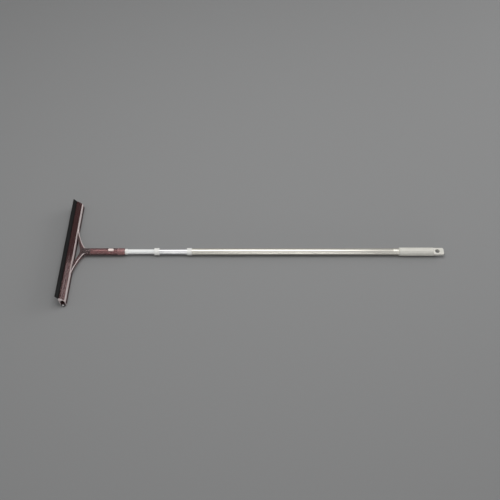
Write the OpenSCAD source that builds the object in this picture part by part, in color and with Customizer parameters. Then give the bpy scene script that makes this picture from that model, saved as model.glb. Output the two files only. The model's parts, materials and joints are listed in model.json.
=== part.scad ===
// Window squeegee on a three-stage telescopic pole, lying on the floor.
// The pole runs along +X towards the grip, the blade along Y, +Z is up.
// The origin is the middle of the footprint on the floor.
// Every module is drawn in stations: millimetres along the pole from the blade's edge.

/* [Overall] */
// Length from the rubber's edge to the end of the hanging tongue, pole pushed in
overall_len = 1057; // [1040:1:1090]
// Height of the pole's centre line above the floor, which is the grip's radius
axis_z = 11.5; // [11:0.1:12.5]

/* [Head] */
// Length of the rubber blade
blade_len = 342; // [250:1:450]
// Length of the blade holder
holder_len = 343; // [251:1:451]
// Thickness of the rubber where it leaves the holder
rubber_root_t = 2.6; // [2:0.1:2.8]
// Thickness of the rubber at its wiping edge
rubber_tip_t = 1.6; // [1:0.1:2]
// How far the rubber runs back inside the holder
rubber_depth = 8; // [6:0.5:8.5]
// Radius of the bead that locks the rubber in its groove
bead_r = 2.2; // [1.8:0.1:2.3]
// Thickness of the holder's walls
holder_wall = 1.9; // [1.6:0.1:2.2]
// How far each end nub stands out beyond the holder
nub_out = 5; // [3:0.5:8]

/* [Yoke and socket] */
// Outer radius of the socket
socket_r = 9.9; // [9.6:0.1:10.4]
// Station where the socket's closed end begins
socket_start = 44; // [43:0.5:46]
// Station of the socket's open mouth
socket_end = 165; // [160:1:170]
// Height of the yoke's arms
arm_h = 9; // [7:0.5:11]
// Width of the rim around the channel in each arm's faces
arm_rim = 1.9; // [1.5:0.1:2.5]
// Thickness of the web between an arm's two channels
arm_web = 3; // [2:0.5:5]
// Length of the white bush that shows beyond the socket
bush_show = 7.5; // [5:0.5:9]

/* [Pole] */
// Outer radius of the inner tube
inner_r = 6.8; // [6.7:0.05:6.85]
// Outer radius of the middle tube
mid_r = 8; // [7.95:0.05:8.05]
// Outer radius of the outer tube
outer_r = 9.5; // [9.4:0.05:9.6]
// Wall of every tube
tube_wall = 0.8; // [0.7:0.05:0.9]
// Station where the inner tube begins, inside the socket
inner_start = 68; // [66:1:74]
// Length of the inner tube
inner_len = 650; // [560:1:655]
// Station where the collar on the middle tube begins
mid_collar_start = 247; // [245:0.5:249]
// Station where the collar on the outer tube begins
outer_collar_start = 338; // [335:0.5:340]
// Length of each collar
collar_len = 14; // [12:0.5:20]
// Outer radius of each collar
collar_r = 10.4; // [10.3:0.1:11]
// Length of the middle tube
mid_len = 610; // [560:1:615]
// Station where the outer tube ends, inside the grip
outer_end = 1018; // [1010:1:1022]

/* [Twist locks] */
// Gap between a lock's sleeve and the tube it grips
lock_gap = 0.3; // [0.25:0.05:0.35]
// Length of a lock's split sleeve
sleeve_len = 28; // [24:1:30]
// Length of the plug that holds a lock in its tube
plug_len = 24; // [16:1:30]
// Length of the spindle beyond its flange
spindle_len = 38; // [36:1:42]
// Width of the ribs that key the cone to the sleeve
key_w = 1.4; // [1.2:0.1:1.6]

/* [Release button] */
// Station of the button's centre
button_at = 126; // [120:1:130]
// Length of the button's oval top
button_l = 16.5; // [14:0.5:18]
// Width of the button's oval top
button_w = 8; // [7:0.5:8.5]
// How far the button can be pushed
button_travel = 2.5; // [2:0.1:2.6]

/* [Grip] */
// Station where the ferrule in front of the grip begins
ferrule_start = 916; // [910:1:918]
// Station where the grip begins
grip_start = 931; // [926:1:934]
// Station where the grip meets the hanging end
grip_end_at = 1025; // [1022:1:1028]
// Radius of the hanging hole
hang_r = 6.3; // [5:0.1:6.5]
// Station of the hanging hole's centre
hang_at = 1039; // [1038:0.5:1041]
// Thickness of the hanging tongue
tongue_t = 7; // [5:0.5:8]

/* [Hidden] */
$fn = 96;
eps = 0.01;
fit = 0.05;

// Corners of the holder's cross-section, as station and height
lip_front = [10, 31.5];
shoulder = [22.6, 20.3];
heel_back = [26.3, 0];
heel_front = [8.5, 0];
lip_rear = [6.2, 28];
holder_corners = [lip_front, shoulder, heel_back, heel_front, lip_rear];
// Rounding at each of those corners
holder_rounding = [0.6, 4, 4, 3, 0.6];
// The raised pad on the front face that the rubber is clamped under
pad_len = 10.5;
pad_h = 0.7;

// The rubber leaves the holder between its two lips
mouth = (lip_front + lip_rear) / 2;
blade_tilt = 56.5;
blade_dir = [-cos(blade_tilt), sin(blade_tilt)];
// The wiping edge's lower corner lies at station 0
blade_out = (mouth.x - rubber_tip_t / 2 * sin(blade_tilt)) / cos(blade_tilt);
bead_at = mouth - rubber_depth * blade_dir;

// Screw channel inside the holder, where the end screws bite
screw_at = [17.6, 6.6];
screw_shank_r = 1.5;
screw_boss_r = 3.8;
screw_head_r = 2.9;
nub_r = 5.8;
nub_neck_r = 4.4;
nub_edge = 1;
screw_seat = 0.8;
boss_rib_t = 2;
cap_recess = 2;
cap_t = 3;
// Larger than any section of the holder, for cutting tools that run past it
reach = 60;

inner_in_r = inner_r - tube_wall;
mid_in_r = mid_r - tube_wall;
outer_in_r = outer_r - tube_wall;
// Thickness of the lip that each tube's mouth rests against
collar_lip = 1;
mid_start = mid_collar_start + collar_lip;
outer_start = outer_collar_start + collar_lip;
inner_end = inner_start + inner_len;
mid_end = mid_start + mid_len;
lock_flange = 2;
// Clearance between a lock's flange and its sleeve
flange_gap = 0.4;
// The sleeve's closed end, and where the cone starts inside the sleeve
sleeve_floor = 4;
cone_inset = 12;
cone_past = 3;
// Thickness of the sleeve's fingers at their root and at their tip
finger_root_t = 3;
finger_tip_t = 0.8;
insert_len = 80;
// The bush's lining inside the socket
lining_len = 20;
lining_t = 1.5;
bush_r = 8;
hole_l = button_l + 0.9;
hole_w = button_w + 0.9;
flange_l = button_l + 2;
flange_w = button_w + 1.4;
flange_top = 3.5;
flange_t = 1.5;
// Heights from the pole's centre line: the floor of the flange's pocket, and the spring's foot
pocket_low = flange_top - flange_t - button_travel - 2.4;
spring_low = -4.6;
spring_r = 2.1;
wire_r = 0.28;
spring_turns = 4.5;
grip_flutes = 12;
inner_rod_r = 2;
outer_rod_r = 2.5;

// ---------- helpers ----------

function unit(v) = v / norm(v);

// Points of the arc that rounds corner p between its neighbours a and b
function fillet(a, p, b, r, n = 8) =
  let (
    u = unit(a - p),
    v = unit(b - p),
    half = acos(u * v) / 2,
    centre = p + unit(u + v) * r / sin(half),
    first = p + u * r / tan(half) - centre,
    last = p + v * r / tan(half) - centre,
    a0 = atan2(first.y, first.x),
    turn = atan2(first.x * last.y - first.y * last.x, first * last)
  )
  [for (i = [0:n]) centre + r * [cos(a0 + turn * i / n), sin(a0 + turn * i / n)]];

function rounded(pts, radii) =
  let (n = len(pts))
  [for (i = [0:n - 1]) each fillet(pts[(i + n - 1) % n], pts[i], pts[(i + 1) % n], radii[i])];

// A convex outline moved in by w on every side
function inset(pts, w) =
  let (n = len(pts))
  [for (i = [0:n - 1])
    let (
      u = unit(pts[(i + n - 1) % n] - pts[i]),
      v = unit(pts[(i + 1) % n] - pts[i])
    )
    pts[i] + (u + v) * w / sin(acos(u * v))];

function bezier(p, t) =
  pow(1 - t, 3) * p[0] + 3 * pow(1 - t, 2) * t * p[1] + 3 * (1 - t) * t * t * p[2] + pow(t, 3) * p[3];

function curve(p, n = 20) = [for (i = [0:n]) bezier(p, i / n)];

// Moves stations into the part's own frame
module placed() {
  translate([-overall_len / 2, 0, 0]) children();
}

// A solid round bar along the pole
module bar(r, from, to) {
  translate([from, 0, axis_z]) rotate([0, 90, 0]) cylinder(r = r, h = to - from);
}

// A round piece along the pole, from an outline of radius and length
module turned(outline, from) {
  translate([from, 0, axis_z]) rotate([0, 90, 0]) rotate_extrude() polygon(outline);
}

module pipe(r_out, r_in, from, to) {
  difference() {
    bar(r_out, from, to);
    bar(r_in, from - 1, to + 1);
  }
}

// A prism along the blade, from an outline of station and height
module along_blade(outline, from, to) {
  translate([0, to, 0]) rotate([90, 0, 0]) linear_extrude(height = to - from) polygon(outline);
}

// A round bar along the blade
module cross_bar(r, at, from, to) {
  translate([at.x, from, at.y]) rotate([-90, 0, 0]) cylinder(r = r, h = to - from);
}

// An upright prism with round ends, long along the pole
module oval(l, w, low, high) {
  translate([button_at, 0, axis_z + low]) {
    translate([-(l - w) / 2, -w / 2, 0]) cube([l - w, w, high - low]);
    translate([-(l - w) / 2, 0, 0]) cylinder(d = w, h = high - low);
    translate([(l - w) / 2, 0, 0]) cylinder(d = w, h = high - low);
  }
}

// ---------- head ----------

// The rubber: a tapered strip with a round bead inside the holder
module rubber_blade() {
  side = [blade_dir.y, -blade_dir.x];
  tip = mouth + blade_out * blade_dir;
  strip = [
    tip - side * rubber_tip_t / 2,
    tip + side * rubber_tip_t / 2,
    mouth + side * rubber_root_t / 2,
    bead_at + side * rubber_root_t / 2,
    bead_at - side * rubber_root_t / 2,
    mouth - side * rubber_root_t / 2
  ];
  color("#1b1b1a") placed() {
    along_blade(strip, -blade_len / 2, blade_len / 2);
    cross_bar(bead_r, bead_at, -blade_len / 2, blade_len / 2);
  }
}

module holder_outside(extra = 0) {
  along_blade(rounded(holder_corners, holder_rounding), -holder_len / 2 - extra, holder_len / 2 + extra);
}

// The hollow behind the rubber's groove, without the screw channel
module holder_cavity(from, to, gap = 0) {
  floor_at = bead_at - (bead_r + holder_wall + gap) * blade_dir;
  intersection() {
    along_blade(inset(holder_corners, holder_wall + gap), from, to);
    translate([floor_at.x, from, floor_at.y])
      rotate([0, blade_tilt - 90, 0])
        translate([-reach / 2, 0, -reach]) cube([reach, to - from, reach]);
  }
}

// Holder: a hollow profile with a rubber groove at its lip and a screw channel at its heel
module blade_holder() {
  side = [blade_dir.y, -blade_dir.x];
  slot_t = rubber_root_t + 2 * fit;
  out = mouth + bead_r * blade_dir;
  slot = [
    out + side * slot_t / 2,
    out - side * slot_t / 2,
    bead_at - side * slot_t / 2,
    bead_at + side * slot_t / 2
  ];
  down_face = unit(shoulder - lip_front);
  face_out = [-down_face.y, down_face.x];
  edge = 0.6;
  pad = [
    lip_front + edge * down_face - face_out,
    lip_front + edge * down_face + face_out * pad_h * 0.3,
    lip_front + (edge + pad_h) * down_face + face_out * pad_h,
    lip_front + (pad_len - edge) * down_face + face_out * pad_h,
    lip_front + pad_len * down_face - face_out
  ];
  half = holder_len / 2;
  boss_end = half - cap_recess - cap_t;
  color("#5a3131", 0.75) placed() {
    difference() {
      union() {
        holder_outside();
        along_blade(pad, -half, half);
      }
      along_blade(slot, -half - 1, half + 1);
      cross_bar(bead_r + fit, bead_at, -half - 1, half + 1);
      difference() {
        holder_cavity(-half - 1, half + 1);
        cross_bar(screw_boss_r, screw_at, -boss_end, boss_end);
        translate([screw_at.x - boss_rib_t / 2, -boss_end, 0]) cube([boss_rib_t, 2 * boss_end, screw_at.y]);
      }
      cross_bar(screw_shank_r + fit, screw_at, -half - 1, half + 1);
    }
  }
}

// Plug in the holder's end, sunk below its rim, with a round nub for the screw
module end_cap() {
  plate_out = holder_len / 2 - cap_recess;
  nub_end = holder_len / 2 + nub_out;
  difference() {
    union() {
      holder_cavity(plate_out - cap_t, plate_out, fit);
      cross_bar(nub_neck_r, screw_at, plate_out - eps, holder_len / 2 + 1);
      cross_bar(nub_r, screw_at, holder_len / 2 + fit, nub_end - nub_edge);
      translate([screw_at.x, nub_end - nub_edge - eps, screw_at.y])
        rotate([-90, 0, 0]) cylinder(r1 = nub_r, r2 = nub_r - nub_edge, h = nub_edge + eps);
    }
    cross_bar(screw_shank_r + fit, screw_at, plate_out - cap_t - 1, nub_end + 1);
    cross_bar(screw_head_r + 2 * fit, screw_at, nub_end - screw_seat, nub_end + 1);
  }
}

module end_cap_left() {
  color("#2a1414") placed() end_cap();
}

module end_cap_right() {
  color("#2a1414") placed() mirror([0, 1, 0]) end_cap();
}

module end_screw() {
  seat = holder_len / 2 + nub_out - screw_seat;
  shank = 16;
  rim = 1.2;
  dome = 0.8;
  slot_w = 0.8;
  slot_l = 4;
  translate([screw_at.x, seat, screw_at.y]) rotate([-90, 0, 0]) {
    difference() {
      union() {
        translate([0, 0, -shank]) cylinder(r = screw_shank_r, h = shank + eps);
        cylinder(r = screw_head_r, h = rim);
        translate([0, 0, rim]) cylinder(r1 = screw_head_r, r2 = screw_head_r - dome, h = dome);
      }
      for (turn = [0, 90])
        rotate([0, 0, turn]) translate([-slot_w / 2, -slot_l / 2, rim]) cube([slot_w, slot_l, 2 * dome]);
    }
  }
}

module end_cap_screws() {
  color("#e8e8e8") placed() {
    end_screw();
    mirror([0, 1, 0]) end_screw();
  }
}

// ---------- yoke, socket and release button ----------

// One arm's outline: it leaves the socket's side and flares out to the holder
function arm_outside() = curve([[54, 9], [45, 13], [31, 46], [23, 82]]);
function arm_inside() = curve([[22, 54], [28.5, 34], [38.5, 11], [39.4, 0]]);

// The points of a curve from one index to another, moved sideways to its left by d
function beside(pts, d, from, to) =
  [for (i = [from:to])
    let (along = unit(pts[i + 1] - pts[i - 1]))
    pts[i] + d * [-along.y, along.x]];

// The channel in an arm's face, inside a rim of even width
function arm_channel() = concat(
  beside(arm_outside(), arm_rim, 5, 15),
  beside(arm_inside(), arm_rim, 7, 14));

module yoke_socket() {
  arm = concat([[54, 0]], arm_outside(), arm_inside());
  recess_depth = 1.2;
  recess_edge = 4.5;
  socket_len = socket_end - socket_start;
  socket = [
    [0, 0],
    [socket_r - 4, 0],
    [socket_r - 1.2, 1.2],
    [socket_r, 4],
    [socket_r, socket_len],
    [0, socket_len]
  ];
  color("#6b3a3a", 0.75) placed() {
    difference() {
      union() {
        for (way = [0, 1])
          mirror([0, way, 0]) difference() {
            translate([0, -eps, axis_z - arm_h / 2]) linear_extrude(height = arm_h) polygon(arm);
            for (face = [-1, 1])
              translate([0, 0, axis_z + face * (arm_web + arm_h) / 2 - arm_h / 2])
                linear_extrude(height = arm_h) polygon(arm_channel());
          }
        turned(socket, socket_start);
      }
      holder_outside(1);
      bar(inner_r + fit, inner_start, socket_end + 1);
      bar(inner_r + lining_t, socket_end - lining_len, socket_end + 1);
      oval(hole_l, hole_w, 0, socket_r + 1);
      difference() {
        oval(hole_l + recess_edge, hole_w + recess_edge, 0, socket_r + 1);
        bar(socket_r - recess_depth, inner_start, socket_end);
      }
    }
  }
}

// White bush that lines the socket's mouth and stands out of it
module socket_bush() {
  bore = inner_r + fit;
  edge = 1;
  color("#f4f2ec") placed()
    turned([
      [bore, 0],
      [inner_r + lining_t - fit, 0],
      [inner_r + lining_t - fit, lining_len],
      [bush_r, lining_len],
      [bush_r, lining_len + bush_show - edge],
      [bush_r - edge, lining_len + bush_show],
      [bore, lining_len + bush_show]
    ], socket_end - lining_len);
}

// Plastic carrier inside the inner tube's end that guides the button
module button_insert() {
  pocket_l = flange_l + 1;
  pocket_w = flange_w + 0.8;
  color("#dcdcd8") placed()
    difference() {
      bar(inner_in_r - fit, inner_start + 2, inner_start + insert_len);
      oval(pocket_l, pocket_w, pocket_low, inner_r + 1);
      translate([button_at, 0, axis_z + spring_low - fit])
        cylinder(r = spring_r + wire_r + 0.3, h = 4);
    }
}

// Button: an oval top with a shallow thumb dish, on a flange that the inner tube holds back
module release_button() {
  dish_r = 30;
  dish_depth = 0.6;
  color("#f6ded8") placed() {
    difference() {
      oval(button_l, button_w, flange_top - eps, socket_r - 0.2);
      translate([button_at, 0, axis_z + socket_r + dish_r]) rotate([90, 0, 0])
        cylinder(r = dish_r + dish_depth, h = 2 * button_w, center = true);
    }
    oval(flange_l, flange_w, flange_top - flange_t, flange_top);
  }
}

// Small compression spring under the button, from a round wire swept along a helix
module button_spring() {
  sides = 8;
  steps = 16;
  rise = flange_top - flange_t - spring_low - 2 * wire_r - 2 * fit;
  count = floor(spring_turns * steps);
  function ring(i) =
    let (
      a = 360 * i / steps,
      out = [cos(a), sin(a), 0],
      mid = spring_r * out + [0, 0, rise * i / count]
    )
    [for (k = [0:sides - 1])
      mid + wire_r * (cos(360 * k / sides) * out + sin(360 * k / sides) * [0, 0, 1])];
  points = [for (i = [0:count]) each ring(i)];
  skin = [for (i = [0:count - 1]) for (k = [0:sides - 1])
    let (a = i * sides, b = (i + 1) * sides, n = (k + 1) % sides)
    each [[a + k, b + k, b + n], [a + k, b + n, a + n]]];
  first_end = [[for (k = [0:sides - 1]) k]];
  last_end = [[for (k = [sides - 1:-1:0]) count * sides + k]];
  color("#b8bcc0") placed()
    translate([button_at, 0, axis_z + spring_low + wire_r + fit])
      polyhedron(points, concat(skin, first_end, last_end));
}

// ---------- pole ----------

module inner_tube() {
  color("#f2f3f1") placed()
    difference() {
      pipe(inner_r, inner_in_r, inner_start, inner_end);
      oval(hole_l, hole_w, 0, inner_r + 1);
    }
}

// Middle tube, with the crimp that stops the inner stage from being pulled out
module middle_tube() {
  dimple_r = 3;
  dimple_depth = 0.3;
  crimp_at = (mid_collar_start + outer_collar_start + collar_len) / 2;
  color("#c9cacb") placed()
    difference() {
      pipe(mid_r, mid_in_r, mid_start, mid_end);
      translate([crimp_at, 0, axis_z + mid_r + dimple_r - dimple_depth]) sphere(r = dimple_r);
    }
}

module outer_tube() {
  color("#c8bfae") placed() pipe(outer_r, outer_in_r, outer_start, outer_end);
}

// Collar over a tube's mouth: a lip guides the smaller tube, the rest grips the larger one
module collar(from, small_r, large_r) {
  edge = 0.8;
  color("#ecebe5") placed()
    turned([
      [small_r + fit, 0],
      [collar_r - edge, 0],
      [collar_r, edge],
      [collar_r, collar_len - edge],
      [collar_r - edge, collar_len],
      [large_r + fit, collar_len],
      [large_r + fit, collar_lip],
      [small_r + fit, collar_lip]
    ], from);
}

module middle_collar() {
  collar(mid_collar_start, inner_r, mid_r);
}

module outer_collar() {
  collar(outer_collar_start, mid_r, outer_r);
}

// ---------- twist locks ----------
// A lock sits at the far end of a tube, inside the next larger one. Its spindle turns with the
// smaller tube and draws a keyed cone into a split sleeve, which then grips the larger tube.

// Spindle: plug in the smaller tube, flange, and the threaded rod that carries the cone
module lock_spindle(at, plug_r, rod_r) {
  flange_out = 0.6;
  placed() {
    bar(plug_r - fit, at - plug_len, at + eps);
    bar(plug_r + flange_out, at, at + lock_flange);
    bar(rod_r, at + lock_flange - eps, at + lock_flange + spindle_len);
  }
}

// Split sleeve with a cone-shaped mouth and three slits
module lock_sleeve(at, hole_r, rod_r) {
  from = at + lock_flange + flange_gap;
  r = hole_r - lock_gap;
  edge = 0.6;
  slit_w = key_w + 2 * lock_gap;
  placed()
    difference() {
      turned([
        [rod_r + fit, 0],
        [r - edge, 0],
        [r, edge],
        [r, sleeve_len],
        [r - finger_tip_t, sleeve_len],
        [r - finger_root_t, sleeve_floor],
        [rod_r + fit, sleeve_floor]
      ], from);
      for (a = [0:120:240])
        translate([from + sleeve_floor, 0, axis_z]) rotate([a, 0, 0])
          translate([0, -slit_w / 2, rod_r + 0.5]) cube([sleeve_len, slit_w, r]);
    }
}

// Cone nut on the rod, with three ribs that slide in the sleeve's slits
module lock_cone(at, hole_r, rod_r) {
  from = at + lock_flange + flange_gap + cone_inset;
  taper_len = sleeve_len - cone_inset;
  length = taper_len + cone_past;
  slope = (finger_root_t - finger_tip_t) / (sleeve_len - sleeve_floor);
  big_r = hole_r - lock_gap - finger_tip_t - 0.4;
  small_r = big_r - slope * taper_len;
  rib_inset = 2;
  rib_low = small_r - 0.8;
  rib_high = hole_r - lock_gap - 0.5;
  placed() {
    turned([
      [rod_r + fit, 0],
      [small_r, 0],
      [big_r, taper_len],
      [big_r, length],
      [rod_r + fit, length]
    ], from);
    for (a = [0:120:240])
      translate([from + rib_inset, 0, axis_z]) rotate([a, 0, 0])
        translate([0, -key_w / 2, rib_low]) cube([length - rib_inset, key_w, rib_high - rib_low]);
  }
}

// Round nut on the rod's end that keeps the cone from coming off
module lock_end_nut(at, rod_r) {
  to = at + lock_flange + spindle_len;
  nut_wall = 1.8;
  nut_len = 3;
  placed() pipe(rod_r + nut_wall, rod_r + fit, to - nut_len, to);
}

module inner_lock_spindle() {
  color("#d8d6cf") lock_spindle(inner_end, inner_in_r, inner_rod_r);
}

module inner_lock_sleeve() {
  color("#2f3133") lock_sleeve(inner_end, mid_in_r, inner_rod_r);
}

module inner_lock_cone() {
  color("#e9e7e0") lock_cone(inner_end, mid_in_r, inner_rod_r);
}

module inner_lock_end_nut() {
  color("#b8bcc0") lock_end_nut(inner_end, inner_rod_r);
}

module outer_lock_spindle() {
  color("#d8d6cf") lock_spindle(mid_end, mid_in_r, outer_rod_r);
}

module outer_lock_sleeve() {
  color("#2f3133") lock_sleeve(mid_end, outer_in_r, outer_rod_r);
}

module outer_lock_cone() {
  color("#e9e7e0") lock_cone(mid_end, outer_in_r, outer_rod_r);
}

module outer_lock_end_nut() {
  color("#b8bcc0") lock_end_nut(mid_end, outer_rod_r);
}

// ---------- grip ----------

// Metal ferrule with three rolled beads, where the tube enters the grip
module grip_ferrule() {
  skin_r = outer_r + 0.4;
  bead = 0.35;
  bead_w = 2;
  edge = 0.6;
  step = (grip_start - ferrule_start - 2 * bead_w) / 2;
  color("#cfc7b8") placed() {
    pipe(skin_r, outer_r + fit, ferrule_start, grip_start);
    for (k = [0:2])
      turned([
        [skin_r - 0.1, 0],
        [skin_r + bead, edge],
        [skin_r + bead, bead_w - edge],
        [skin_r - 0.1, bead_w]
      ], ferrule_start + bead_w / 2 + k * step);
  }
}

// Cream sleeve over the end of the outer tube, with shallow flutes along it
module grip_sleeve() {
  length = grip_end_at - grip_start;
  flute_r = 3;
  flute_depth = 0.35;
  flute_inset = 6;
  edge = 1.2;
  bore = outer_r + fit;
  color("#cdc9be") placed()
    difference() {
      turned([
        [bore, 0],
        [axis_z - edge, 0],
        [axis_z, edge],
        [axis_z, length],
        [bore, length]
      ], grip_start);
      for (k = [0:grip_flutes - 1])
        translate([grip_start + flute_inset, 0, axis_z]) rotate([(k + 0.5) * 360 / grip_flutes, 0, 0])
          translate([0, 0, axis_z + flute_r - flute_depth]) rotate([0, 90, 0])
            cylinder(r = flute_r, h = length - 2 * flute_inset);
    }
}

// Hanging end: a spigot in the outer tube and a tongue scooped flat above and below
module hanging_end() {
  scoop_r = axis_z - tongue_t / 2;
  scoop_at = grip_end_at + scoop_r;
  spigot = 24;
  end_r = 7;
  tip = overall_len;
  plan = rounded(
    [[grip_end_at - 1, -axis_z - 1], [tip, -axis_z - 1], [tip, axis_z + 1], [grip_end_at - 1, axis_z + 1]],
    [0.5, end_r, end_r, 0.5]);
  color("#cdc9be") placed() {
    difference() {
      intersection() {
        bar(axis_z, grip_end_at, tip);
        linear_extrude(height = 3 * axis_z) polygon(plan);
      }
      for (way = [-1, 1])
        translate([0, 0, axis_z + way * (tongue_t / 2 + scoop_r)]) {
          translate([scoop_at, reach / 2, 0]) rotate([90, 0, 0]) cylinder(r = scoop_r, h = reach);
          translate([scoop_at, -reach / 2, -scoop_r]) cube([reach, reach, 2 * scoop_r]);
        }
      translate([hang_at, 0, -1]) cylinder(r = hang_r, h = 3 * axis_z);
    }
    bar(outer_in_r - fit, outer_end - spigot, outer_end + eps);
    bar(outer_r - fit, outer_end, grip_end_at + eps);
  }
}

rubber_blade();
blade_holder();
end_cap_left();
end_cap_right();
end_cap_screws();
yoke_socket();
socket_bush();
release_button();
button_spring();
button_insert();
inner_tube();
inner_lock_spindle();
inner_lock_sleeve();
inner_lock_cone();
inner_lock_end_nut();
middle_collar();
middle_tube();
outer_lock_spindle();
outer_lock_sleeve();
outer_lock_cone();
outer_lock_end_nut();
outer_collar();
outer_tube();
grip_ferrule();
grip_sleeve();
hanging_end();
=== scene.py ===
"""Looks of the window squeegee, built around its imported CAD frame.

Metres, +X along the pole towards the grip, +Y along the blade, +Z up. Outlines are in millimetres.
A station is a distance along the pole from the rubber's edge.
"""

import json
import math

import bmesh
import bpy
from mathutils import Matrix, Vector


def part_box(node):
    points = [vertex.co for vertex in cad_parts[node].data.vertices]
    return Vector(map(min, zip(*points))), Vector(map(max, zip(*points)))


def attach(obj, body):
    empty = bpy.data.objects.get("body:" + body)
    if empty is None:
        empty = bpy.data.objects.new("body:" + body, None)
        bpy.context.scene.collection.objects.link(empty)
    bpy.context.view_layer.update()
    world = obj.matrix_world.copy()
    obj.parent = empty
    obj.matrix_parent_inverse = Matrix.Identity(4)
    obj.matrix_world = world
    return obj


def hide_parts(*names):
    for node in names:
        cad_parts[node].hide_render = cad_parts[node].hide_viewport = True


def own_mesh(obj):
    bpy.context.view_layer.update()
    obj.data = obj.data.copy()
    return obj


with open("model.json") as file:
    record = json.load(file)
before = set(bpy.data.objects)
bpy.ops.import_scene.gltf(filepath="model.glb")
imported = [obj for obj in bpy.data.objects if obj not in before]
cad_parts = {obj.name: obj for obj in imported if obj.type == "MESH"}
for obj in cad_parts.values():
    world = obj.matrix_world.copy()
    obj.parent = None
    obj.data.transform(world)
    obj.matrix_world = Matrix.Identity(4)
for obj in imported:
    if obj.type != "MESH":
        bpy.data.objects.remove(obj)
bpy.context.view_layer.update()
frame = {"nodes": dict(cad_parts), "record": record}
NODES = frame["nodes"]
SUBPARTS = {part["node"]: part for part in frame["record"]["subparts"]}
BODIES = frame["record"]["behaviour"]["bodies"]
BODY_OF = {node: body for body, nodes in BODIES.items() for node in nodes}
MM = 0.001
START_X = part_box("rubber_blade")[0].x
AXIS_Z = (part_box("outer_tube")[0].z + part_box("outer_tube")[1].z) / 2

TUBE_WALL = 0.8
FIT = 0.05  # gap between a tube and the piece around it
ROUND = 128  # points around a turned piece
WORLD_PEAK = 4.0  # brightness of the studio where it is brightest


# ---------- places, read from the frame ----------


def stations(node):
    """Where a node starts and ends along the pole, in millimetres from the rubber's edge."""
    low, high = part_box(node)
    return (low.x - START_X) / MM, (high.x - START_X) / MM


def outer_radius(node):
    low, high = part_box(node)
    return (high.z - low.z) / 2 / MM


def half_width(node):
    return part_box(node)[1].y / MM


# ---------- objects and meshes ----------


def add_object(name, data):
    """A new object in the scene, for a mesh, a lamp or a camera."""
    made = bpy.data.objects.new(name, data)
    bpy.context.scene.collection.objects.link(made)
    return made


def add_mesh(name, points, faces):
    mesh = bpy.data.meshes.new(name)
    mesh.from_pydata([tuple(p) for p in points], [], faces)
    return add_object(name, mesh)


def weld(mesh):
    """Joins the points that coincide and turns every face outwards."""
    bm = bmesh.new()
    bm.from_mesh(mesh)
    bmesh.ops.remove_doubles(bm, verts=bm.verts, dist=1e-6)
    bmesh.ops.recalc_face_normals(bm, faces=bm.faces)
    bm.to_mesh(mesh)
    bm.free()


def apply_modifiers(piece):
    graph = bpy.context.evaluated_depsgraph_get()
    piece.data = bpy.data.meshes.new_from_object(piece.evaluated_get(graph))
    piece.modifiers.clear()


# ---------- camera, floor and light ----------


def add_camera():
    """A camera above the near side, looking down on the whole length."""
    elevation = math.radians(52.2)
    distance = 2.04
    aim = Vector((-0.014, 0, AXIS_Z + 0.0078))
    data = bpy.data.cameras.new("camera")
    data.lens = 52.56
    data.sensor_width = 36
    camera = add_object("camera", data)
    camera.location = aim + distance * Vector((0, -math.cos(elevation), math.sin(elevation)))
    camera.rotation_euler = (math.pi / 2 - elevation, 0, 0)
    bpy.context.scene.camera = camera


def add_floor():
    half = 20
    corners = [(-half, -half, 0), (half, -half, 0), (half, half, 0), (-half, half, 0)]
    floor = add_mesh("floor", corners, [(0, 1, 2, 3)])
    mat, shader = new_material("floor_paper")
    shader.inputs["Base Color"].default_value = (0.257, 0.259, 0.26, 1)
    shader.inputs["Roughness"].default_value = 0.9
    shader.inputs["Specular IOR Level"].default_value = 0.1
    floor.data.materials.append(mat)


def add_softbox(name, place, aim, size, power):
    """A soft rectangular lamp that faces a point: its size is in metres and its power in watts."""
    data = bpy.data.lights.new(name, "AREA")
    data.shape = "RECTANGLE"
    data.size, data.size_y = size
    data.energy = power
    lamp = add_object(name, data)
    lamp.location = place
    lamp.rotation_euler = (Vector(aim) - Vector(place)).to_track_quat("-Z", "Y").to_euler()


def add_world(levels):
    """A grey studio that changes from back, at 0, to front, at 1. A level is a place and a grey."""
    world = bpy.data.worlds.new("studio")
    bpy.context.scene.world = world
    world.use_nodes = True
    nodes = world.node_tree.nodes
    place = nodes.new("ShaderNodeTexCoord")
    parts = nodes.new("ShaderNodeSeparateXYZ")
    forward = nodes.new("ShaderNodeMapRange")
    forward.inputs["From Min"].default_value = 1
    forward.inputs["From Max"].default_value = -1
    greys = nodes.new("ShaderNodeValToRGB")
    set_stops(greys, [(at, [grey / WORLD_PEAK] * 3) for at, grey in levels])
    bright = nodes.new("ShaderNodeVectorMath")
    bright.operation = "SCALE"
    bright.inputs["Scale"].default_value = WORLD_PEAK
    join = world.node_tree.links.new
    join(place.outputs["Generated"], parts.inputs["Vector"])
    join(parts.outputs["Y"], forward.inputs["Value"])
    join(forward.outputs["Result"], greys.inputs["Fac"])
    join(greys.outputs["Color"], bright.inputs["Vector"])
    join(bright.outputs["Vector"], nodes["Background"].inputs["Color"])
    bpy.context.scene.view_settings.view_transform = "Standard"


# ---------- material tools ----------


def new_material(name):
    mat = bpy.data.materials.new(name)
    mat.use_nodes = True
    return mat, mat.node_tree.nodes["Principled BSDF"]


def add_node(mat, kind, **values):
    node = mat.node_tree.nodes.new(kind)
    for key, value in values.items():
        node.inputs[key].default_value = value
    return node


def link(mat, out, into):
    mat.node_tree.links.new(out, into)


def noise(mat, scale, stretch=(1, 1, 1), detail=4.0):
    """Noise in the piece's own coordinates: scale in features per metre, stretched per axis."""
    place = add_node(mat, "ShaderNodeTexCoord")
    mapping = add_node(mat, "ShaderNodeMapping", Scale=stretch)
    link(mat, place.outputs["Object"], mapping.inputs["Vector"])
    tex = add_node(mat, "ShaderNodeTexNoise", Scale=scale, Detail=detail, Roughness=0.6)
    link(mat, mapping.outputs["Vector"], tex.inputs["Vector"])
    return tex.outputs["Fac"]


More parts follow.
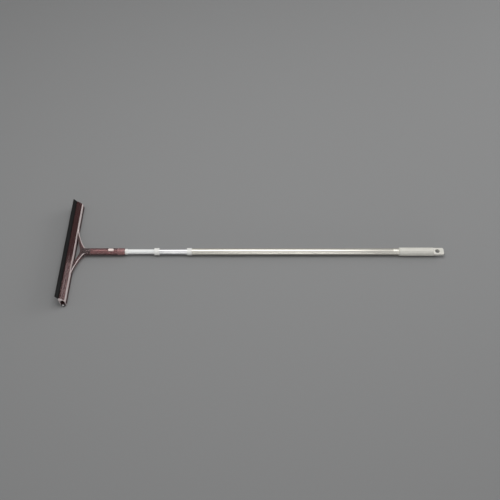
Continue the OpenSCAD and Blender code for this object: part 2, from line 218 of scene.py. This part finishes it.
def set_stops(node, stops):
    """Gives a colour ramp its stops, each a place and a colour."""
    points = node.color_ramp.elements
    while len(points) < len(stops):
        points.new(0.5)
    for point, (at, colour) in zip(points, stops):
        point.position = at
        point.color = (*colour, 1)


def ramp(mat, fac, stops):
    node = add_node(mat, "ShaderNodeValToRGB")
    set_stops(node, stops)
    link(mat, fac, node.inputs["Fac"])
    return node.outputs["Color"]


def spread(mat, fac, low, high):
    """Noise, which mostly lies between 0.3 and 0.7, as a value between low and high."""
    values = {"From Min": 0.3, "From Max": 0.7, "To Min": low, "To Max": high}
    node = add_node(mat, "ShaderNodeMapRange", **values)
    link(mat, fac, node.inputs["Value"])
    return node.outputs["Result"]


def drift(mat, shader, fac, dark, light):
    """A base colour that drifts between a darker and a lighter one."""
    link(mat, ramp(mat, fac, [(0.3, dark), (0.7, light)]), shader.inputs["Base Color"])


def bump(mat, shader, height, strength, depth):
    node = add_node(mat, "ShaderNodeBump", Strength=strength, Distance=depth)
    link(mat, height, node.inputs["Height"])
    link(mat, node.outputs["Normal"], shader.inputs["Normal"])


# ---------- materials ----------

ALONG = (0.01, 1, 1)  # stretch of lines drawn along the pole
EVEN = (1, 1, 1)

# tint, colour that soaks in with depth, and how strongly it does
CLEAR = {
    "smoke_plastic": ((0.5, 0.2, 0.2), (0.4, 0.02, 0.03), 620),
    "socket_plastic": ((0.9, 0.7, 0.7), (0.44, 0.03, 0.05), 290),
}

# lighter colour, darker colour, roughness, grain in features per metre, coat
MOULDED = {
    "dark_plastic": ((0.03, 0.009, 0.009), (0.02, 0.006, 0.006), 0.2, 900, 0),
    "white_plastic": ((0.84, 0.84, 0.81), (0.79, 0.78, 0.75), 0.3, 900, 0.3),
    "button_plastic": ((0.9, 0.76, 0.72), (0.84, 0.7, 0.66), 0.26, 900, 0.4),
    "lock_plastic": ((0.66, 0.64, 0.58), (0.6, 0.58, 0.52), 0.45, 900, 0),
    "lock_dark_plastic": ((0.04, 0.04, 0.043), (0.03, 0.03, 0.032), 0.5, 900, 0),
    "white_enamel": ((0.87, 0.88, 0.87), (0.83, 0.84, 0.83), 0.2, 500, 0.6),
    "grip_plastic": ((0.68, 0.665, 0.61), (0.63, 0.615, 0.56), 0.42, 900, 0),
}

# lighter colour, darker colour, roughness, stretch of the lines
DRAWN = {
    "polished_steel": ((0.98, 0.98, 0.98), (0.93, 0.93, 0.93), 0.45, EVEN),
    "spring_steel": ((0.62, 0.63, 0.64), (0.5, 0.51, 0.52), 0.3, EVEN),
    "silver_aluminium": ((0.84, 0.84, 0.84), (0.77, 0.77, 0.78), 0.31, ALONG),
    "champagne_aluminium": ((0.82, 0.795, 0.725), (0.76, 0.735, 0.66), 0.34, ALONG),
}


def rubber():
    """Matt black rubber with a dusty bloom, and fine lines along its length, where it was extruded."""
    mat, s = new_material("rubber_black")
    lines = noise(mat, 900, (1, 0.02, 1))
    bloom = noise(mat, 60, (1, 0.3, 1))
    colours = [(0.35, (0.005, 0.005, 0.005)), (0.75, (0.01, 0.01, 0.0098))]
    link(mat, ramp(mat, bloom, colours), s.inputs["Base Color"])
    link(mat, spread(mat, lines, 0.45, 0.65), s.inputs["Roughness"])
    s.inputs["Specular IOR Level"].default_value = 0.16
    bump(mat, s, lines, 0.25, 0.0002)
    return mat


def clear_plastic(name, tint, soak, density):
    """Clear tinted plastic: its thin walls and edges stay pale, and thick ones go dark."""
    mat, s = new_material(name)
    drift(mat, s, noise(mat, 35, (1, 0.3, 1)), [0.88 * c for c in tint], tint)
    link(mat, spread(mat, noise(mat, 250), 0.04, 0.1), s.inputs["Roughness"])
    s.inputs["IOR"].default_value = 1.42
    s.inputs["Specular Tint"].default_value = (1, 0.74, 0.74, 1)
    s.inputs["Transmission Weight"].default_value = 0.92
    bump(mat, s, noise(mat, 60), 0.003, 0.0003)
    volume = add_node(mat, "ShaderNodeVolumeAbsorption", Color=(*soak, 1), Density=density)
    link(mat, volume.outputs["Volume"], mat.node_tree.nodes["Material Output"].inputs["Volume"])
    return mat


def painted_highlight_material():
    """A pale pink copy of the clear plastic, used as a painted highlight on the holder's back wall and
    cut ends and on the yoke's arm rims.
    """
    mat, s = new_material("painted_highlight_plastic")
    # pale pink base colour: painted highlight
    drift(mat, s, noise(mat, 60, (1, 0.2, 1)), (0.8, 0.68, 0.67), (0.93, 0.83, 0.82))
    link(mat, spread(mat, noise(mat, 300), 0.18, 0.3), s.inputs["Roughness"])
    s.inputs["Transmission Weight"].default_value = 0.25
    bump(mat, s, noise(mat, 200), 0.05, 0.0003)
    return mat


def moulded_plastic(name, light, dark, rough, grain, coat):
    """Opaque moulded plastic: slight colour drift, fine grain, satin sheen."""
    mat, s = new_material(name)
    drift(mat, s, noise(mat, 45), dark, light)
    fine = noise(mat, grain)
    link(mat, spread(mat, fine, rough - 0.06, rough + 0.08), s.inputs["Roughness"])
    s.inputs["Coat Weight"].default_value = coat
    s.inputs["Coat Roughness"].default_value = 0.08
    bump(mat, s, fine, 0.06, 0.0001)
    return mat


def drawn_metal(name, light, dark, rough, stretch):
    """Metal with fine lines along the direction in which stretch is small."""
    mat, s = new_material(name)
    s.inputs["Metallic"].default_value = 1
    lines = noise(mat, 1400, stretch, detail=5)
    drift(mat, s, noise(mat, 14, (0.4, 1, 1)), dark, light)
    link(mat, spread(mat, lines, rough - 0.07, rough + 0.09), s.inputs["Roughness"])
    bump(mat, s, lines, 0.12, 0.00005)
    return mat


def make_materials():
    """Every material, by the name that the record's slots give it."""
    made = {"rubber_black": rubber(), "painted_highlight_plastic": painted_highlight_material()}
    made.update({name: clear_plastic(name, *look) for name, look in CLEAR.items()})
    made.update({name: moulded_plastic(name, *look) for name, look in MOULDED.items()})
    made.update({name: drawn_metal(name, *look) for name, look in DRAWN.items()})
    return made


# ---------- piece tools ----------


def add_piece(name, points, faces, node, sharp=35):
    """A smooth-shaded piece that stands for a CAD node, with the node's body, slot and material."""
    piece = add_mesh(name, points, faces)
    settle(piece, node, sharp)
    return piece


def settle(piece, node, sharp=35):
    """Welds and shades a new piece, and puts it in a CAD node's place."""
    weld(piece.data)
    piece.data.shade_smooth()
    piece.data.set_sharp_from_angle(angle=math.radians(sharp))
    slot = SUBPARTS[node]["material_slot"]
    if not piece.data.materials:
        piece.data.materials.append(MATERIALS[slot])
    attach(piece, BODY_OF[node])
    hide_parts(node)


def rounded(corners, radii, steps=6):
    """An outline with each corner replaced by an arc of its radius. A radius of 0 keeps the corner."""
    out = []
    for i, (corner, radius) in enumerate(zip(corners, radii)):
        here = Vector(corner)
        if not radius:
            out.append(here)
            continue
        back = (Vector(corners[i - 1]) - here).normalized()
        ahead = (Vector(corners[(i + 1) % len(corners)]) - here).normalized()
        half = math.acos(max(-1, min(1, back.dot(ahead)))) / 2
        centre = here + (back + ahead).normalized() * radius / math.sin(half)
        first = here + back * radius / math.tan(half) - centre
        last = here + ahead * radius / math.tan(half) - centre
        turn = math.atan2(first.x * last.y - first.y * last.x, first.dot(last))
        for k in range(steps + 1):
            a = turn * k / steps
            out.append(centre + Vector((
                first.x * math.cos(a) - first.y * math.sin(a),
                first.x * math.sin(a) + first.y * math.cos(a))))
    return out


def bands(count, rings, closed):
    """Faces between rings of count points each, and from the last ring to the first if closed."""
    faces = []
    for r in range(rings if closed else rings - 1):
        s = (r + 1) % rings
        for k in range(count):
            n = (k + 1) % count
            faces.append((r * count + k, r * count + n, s * count + n, s * count + k))
    return faces


def capped(count, rings):
    """Faces between rings of count points each, with a face over the first ring and the last."""
    last = (rings - 1) * count
    return bands(count, rings, False) + [tuple(range(count)), tuple(range(last, last + count))]


def on_pole(station, angle, radius):
    """A point at a station, at an angle from straight up and a radius from the pole's centre line."""
    return Vector((
        START_X + station * MM,
        radius * MM * math.sin(angle),
        AXIS_Z + radius * MM * math.cos(angle)))


def turned(name, outline, node, from_station, shape=None):
    """A round piece along the pole, from a closed outline of length and radius in millimetres.

    shape, if given, returns the radius to use at a length, an angle and a radius."""
    points = []
    for length, radius in outline:
        for k in range(ROUND):
            angle = 2 * math.pi * k / ROUND
            r = shape(length, angle, radius) if shape else radius
            points.append(on_pole(from_station + length, angle, r))
    return add_piece(name, points, bands(ROUND, len(outline), True), node)


def tube_outline(length, r_in, r_out, edge=0.2, steps=()):
    """A tube's outline with rounded rims, and extra rings at some lengths of its outside."""
    rim = rounded([(0, r_in), (0, r_out), (length, r_out), (length, r_in)], [edge] * 4, 3)
    half = len(rim) // 2
    return rim[:half] + [Vector((at, r_out)) for at in steps] + rim[half:]


def softened(node, name, voxel, passes):
    """A CAD node's shape as a fine mesh whose edges and corners are rounded, as moulding leaves them."""
    mesh = NODES[node].data.copy()
    mesh.name = name
    mesh.materials.clear()
    weld(mesh)
    piece = add_object(name, mesh)
    remesh = piece.modifiers.new("remesh", "REMESH")
    remesh.mode = "VOXEL"
    remesh.voxel_size = voxel * MM
    ease = piece.modifiers.new("ease", "SMOOTH")
    ease.factor = 0.5
    ease.iterations = passes
    apply_modifiers(piece)
    settle(piece, node, 60)
    return piece


def pierce(piece, outline, middle_x, bottom, top):
    """Cuts an upright hole through a piece. The hole's outline is in millimetres about its middle."""
    points = [(middle_x + p.x * MM, p.y * MM, z) for z in (bottom, top) for p in outline]
    tool = add_mesh("hole_tool", points, capped(len(outline), 2))
    weld(tool.data)
    cut = piece.modifiers.new("hole", "BOOLEAN")
    cut.operation = "DIFFERENCE"
    cut.solver = "EXACT"
    cut.object = tool
    apply_modifiers(piece)
    piece.data.set_sharp_from_angle(angle=math.radians(35))
    bpy.data.objects.remove(tool)


# ---------- pole ----------


def inner_tube():
    """The inner tube, with the oval hole that the release button stands in."""
    start, end = stations("inner_tube")
    r = outer_radius("inner_tube")
    low, high = stations("release_button")
    around = 3
    rings = [low - start - around, high - start + around]
    outline = tube_outline(end - start, r - TUBE_WALL, r, steps=rings)
    piece = turned("inner_tube_skin", outline, "inner_tube", start)
    clear = 0.9
    length, width = button_cap_size()
    hole = stadium(length + clear, width + clear)
    middle_x = START_X + (low + high) / 2 * MM
    pierce(piece, hole, middle_x, AXIS_Z, AXIS_Z + (r + 1) * MM)


def middle_tube():
    """The middle tube, with the crimp that stops the inner stage pressed into its top."""
    start, end = stations("middle_tube")
    r = outer_radius("middle_tube")
    crimp = (stations("middle_collar")[0] + stations("outer_collar")[1]) / 2 - start
    reach = 3.0
    depth = 0.45
    clear = 8
    steps = 6

    def pressed(length, angle, radius):
        across = radius * (angle if angle < math.pi else angle - 2 * math.pi)
        away = math.hypot(length - crimp, across) / reach
        dent = depth * (0.5 + 0.5 * math.cos(math.pi * away)) if away < 1 else 0
        return radius - dent

    rings = [crimp + reach * k / steps for k in range(-steps, steps + 1)]
    rings = [crimp - clear] + rings + [crimp + clear]
    outline = tube_outline(end - start, r - TUBE_WALL, r, steps=rings)
    turned("middle_tube_skin", outline, "middle_tube", start, pressed)


def outer_tube():
    start, end = stations("outer_tube")
    r = outer_radius("outer_tube")
    turned("outer_tube_skin", tube_outline(end - start, r - TUBE_WALL, r), "outer_tube", start)


def collar(node, small, large):
    """A collar over a tube's mouth, with a softly rounded rim at each end and a shallow waist."""
    start, end = stations(node)
    length = end - start
    r = outer_radius(node)
    small_r = outer_radius(small) + FIT
    large_r = outer_radius(large) + FIT
    lip = 1
    rim = 3.2
    slope = 0.8
    waist_r = r - 0.25
    corners = [
        (0, small_r), (0, r), (rim, r), (rim + slope, waist_r),
        (length - rim - slope, waist_r), (length - rim, r), (length, r),
        (length, large_r), (lip, large_r), (lip, small_r)]
    radii = [0.3, 1, 0.5, 0.5, 0.5, 0.5, 1, 0.2, 0, 0]
    turned(node + "_shell", rounded(corners, radii, 5), node, start)


def socket_bush():
    """White bush: a lining inside the socket, and a slightly thinner nose that tapers to the tube."""
    start, end = stations("socket_bush")
    length = end - start
    bore = outer_radius("inner_tube") + FIT
    lining = stations("yoke_socket")[1] - start
    lining_r = outer_radius("socket_bush")
    nose_r = lining_r - 0.25
    step = 0.3
    taper, taper_drop = 1.4, 0.7
    corners = [
        (0, bore), (0, lining_r), (lining, lining_r), (lining + step, nose_r),
        (length - taper, nose_r), (length, nose_r - taper_drop), (length, bore)]
    radii = [0.2, 0.4, 0, 0, 0.9, 0.3, 0.2]
    turned("socket_bush_ring", rounded(corners, radii, 5), "socket_bush", start)


def grip_ferrule():
    """Rolled metal ferrule: three round beads on a thin sleeve."""
    start, end = stations("grip_ferrule")
    length = end - start
    bore = outer_radius("outer_tube") + FIT
    rise = 0.35
    skin = outer_radius("grip_ferrule") - rise
    rim = skin - 0.1
    beads = 3
    bead_w = 2.0
    steps = 8
    outline = [Vector((0, bore)), Vector((0, rim))]
    for k in range(beads):
        middle = bead_w + k * (length - 2 * bead_w) / (beads - 1)
        for n in range(steps + 1):
            at = middle + bead_w * (n / steps - 0.5)
            outline.append(Vector((at, skin + rise * math.sin(math.pi * n / steps))))
    outline += [Vector((length, rim)), Vector((length, bore))]
    turned("grip_ferrule_beads", outline, "grip_ferrule", start)


def grip_sleeve():
    """The grip, with shallow flutes that fade out before its ends."""
    start, end = stations("grip_sleeve")
    length = end - start
    r = outer_radius("grip_sleeve")
    flutes = 12
    depth = 0.35
    half_flute = 1.6
    fade_from, fade_to = 4, 9

    def fluted(at, angle, radius):
        if radius < r - 0.01:
            return radius
        pitch = 2 * math.pi / flutes
        across = r * (angle % pitch - pitch / 2)
        from_end = min(at, length - at)
        fade = max(0, min(1, (from_end - fade_from) / (fade_to - fade_from)))
        fade = fade * fade * (3 - 2 * fade)
        return radius - depth * fade * max(0, 1 - (across / half_flute) ** 2)

    ends = list(range(fade_from, fade_to + 1))
    steps = ends + [length - at for at in reversed(ends)]
    outline = tube_outline(length, outer_radius("outer_tube") + FIT, r, 0.9, steps)
    turned("grip_sleeve_fluted", outline, "grip_sleeve", start, fluted)


# ---------- head: blade holder and rubber ----------

# corners of the holder's section, as station and height
LIP_FRONT = Vector((10, 31.5))
SHOULDER = Vector((22.6, 20.3))
HEEL_BACK = Vector((26.3, 0))
HEEL_FRONT = Vector((8.5, 0))
LIP_REAR = Vector((6.2, 28))
HOLDER_WALL = 1.9
GROOVE_DEPTH = 12.1  # the hollow starts this far behind the mouth, past the rubber's groove

# the rubber leans forwards and up from the holder's mouth
MOUTH = (LIP_FRONT + LIP_REAR) / 2
BLADE_TILT = math.radians(56.5)
BLADE_DIR = Vector((-math.cos(BLADE_TILT), math.sin(BLADE_TILT)))
BLADE_SIDE = Vector((BLADE_DIR.y, -BLADE_DIR.x))
TIP_T = 1.6
ROOT_T = 2.6
FREE = (MOUTH.x - TIP_T / 2 * BLADE_SIDE.x) / -BLADE_DIR.x  # from the mouth to the tip
BEAD_DEPTH = 8
BEAD_R = 2.2


def across_blade(point, y):
    """A point of the head's section, given as station and height, at a place along the blade."""
    return Vector((START_X + point.x * MM, y * MM, point.y * MM))


def inset(corners, wall):
    """A convex outline moved in by the wall's thickness."""
    out = []
    for i, corner in enumerate(corners):
        back = (corners[i - 1] - corner).normalized()
        ahead = (corners[(i + 1) % len(corners)] - corner).normalized()
        out.append(corner + (back + ahead) * wall / math.sin(math.acos(back.dot(ahead))))
    return out


def shrunk(outline, by):
    """A smooth outline pulled in by a small amount, for a rounded end."""
    centre = sum(outline, Vector((0, 0))) / len(outline)
    return [p + (centre - p).normalized() * by for p in outline]


def blade_rings(outline, half, ends):
    """Rings of an outline from one end of the blade to the other.

    ends gives each ring's distance from an end, and how much its outline is pulled in."""
    places = [(at - half, by) for at, by in ends]
    places += [(0, 0)] + [(-y, by) for y, by in reversed(places)]
    return [[across_blade(p, y) for p in shrunk(outline, by)] for y, by in places]


def clamping_pad():
    """Outline of the pad: a low step on the holder's front face, from its lip to its shoulder."""
    face = (SHOULDER - LIP_FRONT).normalized()
    out = Vector((-face.y, face.x))
    rise = 0.7
    chamfer = 0.45
    pad = [(1, 0), (1.5, chamfer), (2.2, rise), (9.4, rise), (10, chamfer), (10.5, 0)]
    return [LIP_FRONT + face * along + out * up for along, up in pad]


def holder_section():
    """The holder's outside and inside outlines, with the same number of points."""
    corners = [LIP_FRONT, SHOULDER, HEEL_BACK, HEEL_FRONT, LIP_REAR]
    steps = 7
    arc = steps + 1
    outside = rounded(corners, [0.6, 4, 4, 3, 0.6], steps)
    inner = inset(corners, HOLDER_WALL)
    inner[0] += (inner[1] - inner[0]).normalized() * (GROOVE_DEPTH - HOLDER_WALL)
    inner[4] += (inner[3] - inner[4]).normalized() * (GROOVE_DEPTH - HOLDER_WALL)
    inside = rounded(inner, [1, 2.1, 2.1, 1.5, 1], steps)
    pad = clamping_pad()
    start, stop = inside[arc - 1], inside[arc]
    outside[arc:arc] = pad
    inside[arc:arc] = [start.lerp(stop, (k + 1) / (len(pad) + 1)) for k in range(len(pad))]
    # two more points down the back wall: the painted highlight strip ends at the lower one
    back = 2 * arc + len(pad)
    for outline in (outside, inside):
        top, foot = outline[back - 1], outline[back]
        outline[back:back] = [top.lerp(foot, 0.42), top.lerp(foot, 0.5)]
    return outside, inside


def blade_holder():
    """The holder: one hollow section along the blade, open at both ends, with a raised clamping pad."""
    outside, inside = holder_section()
    half = half_width("blade_holder")
    edge = 0.45
    ends = [(0, edge), (0.15, 0.15), (edge, 0), (6, 0)]
    rings = blade_rings(outside, half, ends)
    rings += reversed(blade_rings(inside, half, [(at, 0) for at, by in ends]))
    points = [p for ring in rings for p in ring]
    faces = bands(len(outside), len(rings), True)
    piece = add_piece("blade_holder_shell", points, faces, "blade_holder", 16)
    paint_highlight_strip(piece)


def paint_highlight_strip(piece):
    """Paints the upper back wall and the cut ends with the pale pink material as a painted highlight."""
    mesh = piece.data
    mesh.materials.append(MATERIALS["painted_highlight_plastic"])
    half = half_width("blade_holder") * MM
    for face in mesh.polygons:
        behind = face.normal.x > 0.8 and face.center.x > START_X + 20 * MM
        back = behind and face.center.z > 10 * MM
        cut = abs(face.center.y) > half - 0.4 * MM
        # these faces take the pale material: a painted highlight
        if back or cut:
            face.material_index = 1


def rubber_ribs():
    """Low bumps across the rubber's upper face close to the holder's lip, from the lip outwards."""
    first, pitch, rib_w, rise = 2.2, 1.3, 0.9, 0.18
    steps = 4
    points = []
    for k in range(3):
        at = first + pitch * k
        half_t = ROOT_T / 2 + (TIP_T - ROOT_T) / 2 * (at / FREE)
        for n in range(steps + 1):
            here = MOUTH + (at + rib_w * n / steps) * BLADE_DIR
            points.append(here + BLADE_SIDE * (half_t + rise * math.sin(math.pi * n / steps)))
    return points


def rubber_bead():
    """The round bead in the holder's groove, from the rubber's upper side round to its lower side."""
    centre = MOUTH - BEAD_DEPTH * BLADE_DIR
    sweep = math.radians(250)
    steps = 14
    points = []
    for k in range(steps + 1):
        a = sweep * (k / steps - 0.5)
        points.append(centre - BEAD_R * (math.cos(a) * BLADE_DIR + math.sin(a) * BLADE_SIDE))
    return points


def rubber_section():
    """The rubber's outline: a tapered strip with a chamfered wiping edge, ribs and a bead."""
    tip = MOUTH + FREE * BLADE_DIR
    root = MOUTH - (BEAD_DEPTH - BEAD_R) * BLADE_DIR
    half_tip = BLADE_SIDE * TIP_T / 2
    half_root = BLADE_SIDE * ROOT_T / 2
    chamfer, ease = 0.35, 0.15
    return [
        tip - half_tip + BLADE_SIDE * ease,
        tip + half_tip - BLADE_SIDE * chamfer,
        tip + half_tip - BLADE_DIR * chamfer,
        *reversed(rubber_ribs()),
        MOUTH + half_root,
        root + half_root,
        *rubber_bead(),
        root - half_root,
        MOUTH - half_root,
        tip - half_tip - BLADE_DIR * ease]


def rubber_blade():
    outline = rubber_section()
    rings = blade_rings(outline, half_width("rubber_blade"), [(0, 0.15), (0.2, 0), (40, 0)])
    points = [p for ring in rings for p in ring]
    add_piece("rubber_strip", points, capped(len(outline), len(rings)), "rubber_blade", 40)


# ---------- head: release button and spring ----------

FLANGE_EXTRA = (2, 1.4)  # how much longer and wider the button's flange is than its cap


def stadium(length, width, count=64):
    """Points of an oval with straight sides, long along the pole, about its centre."""
    r = width / 2
    flat = (length - width) / 2
    points = []
    for k in range(count):
        a = 2 * math.pi * (k + 0.5) / count
        points.append(Vector((math.copysign(flat, math.cos(a)) + r * math.cos(a), r * math.sin(a))))
    return points


def button_flange_size():
    low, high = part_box("release_button")
    return (high.x - low.x) / MM, (high.y - low.y) / MM


def button_cap_size():
    length, width = button_flange_size()
    return length - FLANGE_EXTRA[0], width - FLANGE_EXTRA[1]


def button_levels(bottom, top):
    """The button from the bottom up, then in over its dish: a length, a width and a height each."""
    flange_l, flange_w = button_flange_size()
    length, width = button_cap_size()
    flange_top = bottom + 1.5
    rim = 0.9
    dish = 0.35
    steps = 6
    levels = [
        (flange_l - 0.4, flange_w - 0.4, bottom), (flange_l, flange_w, bottom + 0.2),
        (flange_l, flange_w, flange_top - 0.2), (flange_l - 0.3, flange_w - 0.3, flange_top),
        (length, width, flange_top), (length, width, top - rim)]
    for k in range(1, steps + 1):
        a = math.pi / 2 * k / steps
        pull = 2 * rim * (1 - math.cos(a))
        levels.append((length - pull, width - pull, top - rim * (1 - math.sin(a))))
    flat_l, flat_w = length - 2 * rim, width - 2 * rim
    for k in range(1, steps + 1):
        s = 1 - k / (steps + 1)
        levels.append((flat_l * s + 0.2, flat_w * s + 0.1, top - dish * (1 - s * s)))
    return levels


def release_button():
    """The button: an oval cap with a soft rim and a shallow thumb dish, on a flange in the tube."""
    low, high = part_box("release_button")
    middle = (low.x + high.x) / 2
    levels = button_levels(low.z / MM, high.z / MM)
    count = 64
    points = [
        Vector((middle + p.x * MM, p.y * MM, z * MM))
        for length, width, z in levels for p in stadium(length, width, count)]
    add_piece("release_button_cap", points, capped(count, len(levels)), "release_button", 40)


def button_spring():
    """A coil of round wire with flattened end turns, on a mesh of its own."""
    low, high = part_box("button_spring")
    middle = (low + high) / 2
    wire_r = 0.28 * MM
    coil_r = (high.x - low.x) / 2 - wire_r
    height = high.z - low.z - 2 * wire_r
    turns = 4.5
    flatten = 0.1
    steps, sides = 216, 12
    points = []
    for i in range(steps + 1):
        t = i / steps
        angle = 2 * math.pi * turns * t
        climb = t - flatten * math.sin(2 * math.pi * t)
        outward = Vector((math.cos(angle), math.sin(angle), 0))
        centre = Vector((middle.x, middle.y, low.z + wire_r + height * climb)) + coil_r * outward
        for k in range(sides):
            b = 2 * math.pi * k / sides
            points.append(centre + wire_r * (math.cos(b) * outward + Vector((0, 0, math.sin(b)))))
    piece = add_piece("button_spring_coil", points, capped(sides, steps + 1), "button_spring", 60)
    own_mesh(piece)


# ---------- head: yoke and screws ----------

ARM_EDGE = [(54, 9), (45, 13), (31, 46), (23, 82)]  # curve of an arm's outer edge, neck to holder
ARM_HALF_H = 4.5
ARM_RIM = 1.9  # width of the band painted pale along that edge as a highlight


def arm_outer_edge(count=90):
    """Points along the outer edge of a yoke arm, as station and distance aside."""
    a, b, c, d = (Vector(p) for p in ARM_EDGE)
    points = []
    for k in range(count + 1):
        t = k / count
        u = 1 - t
        points.append(u**3 * a + 3 * u * u * t * b + 3 * u * t * t * c + t**3 * d)
    return points


def yoke_socket():
    """The yoke and socket as one moulding. Faces along the outer rims of its arms are painted pale pink
    as a highlight.
    """
    piece = softened("yoke_socket", "yoke_socket_moulding", 0.5, 5)
    mesh = piece.data
    mesh.materials[0] = MATERIALS["socket_plastic"]
    mesh.materials.append(MATERIALS["painted_highlight_plastic"])
    arm_from = (outer_radius("yoke_socket") - 0.5) * MM
    flat_from = (ARM_HALF_H - 0.6) * MM
    edge = arm_outer_edge()
    for face in mesh.polygons:
        aside = abs(face.center.y)
        if aside > arm_from and abs(face.center.z - AXIS_Z) > flat_from:
            here = Vector(((face.center.x - START_X) / MM, aside / MM))
            if min((here - p).length_squared for p in edge) < ARM_RIM**2:
                # painted highlight along the arm's outer rim
                face.material_index = 1


def screw_heads():
    """Domed screw heads with a cross slot, and their shanks."""
    softened("end_cap_screws", "end_cap_screw_heads", 0.13, 2)


# ---------- everything ----------


def dress_cad_nodes():
    """Every CAD node takes the material of its slot in the record."""
    for node, part in SUBPARTS.items():
        mesh = NODES[node].data
        mesh.materials.clear()
        mesh.materials.append(MATERIALS[part["material_slot"]])


add_camera()
MATERIALS = make_materials()
add_floor()
add_softbox("key", (-0.12, 0.3, 2.1), (-0.12, 0, 0), (1.65, 1.5), 22)
add_softbox("side", (2.4, 1.05, 1.25), (-0.5, 0, 0), (2, 1.2), 22)
add_world([
    (0, 0.45), (0.1, 0.3), (0.35, 0.3), (0.5, 0.6),
    (0.75, 0.5), (0.86, 0.22), (0.965, 0.22), (0.99, WORLD_PEAK)])
dress_cad_nodes()

inner_tube()
middle_tube()
outer_tube()
collar("middle_collar", "inner_tube", "middle_tube")
collar("outer_collar", "middle_tube", "outer_tube")
socket_bush()
grip_ferrule()
grip_sleeve()
softened("hanging_end", "hanging_end_tongue", 0.35, 8)
blade_holder()
rubber_blade()
yoke_socket()
softened("end_cap_left", "end_cap_left_plug", 0.3, 4)
softened("end_cap_right", "end_cap_right_plug", 0.3, 4)
screw_heads()
button_spring()
release_button()
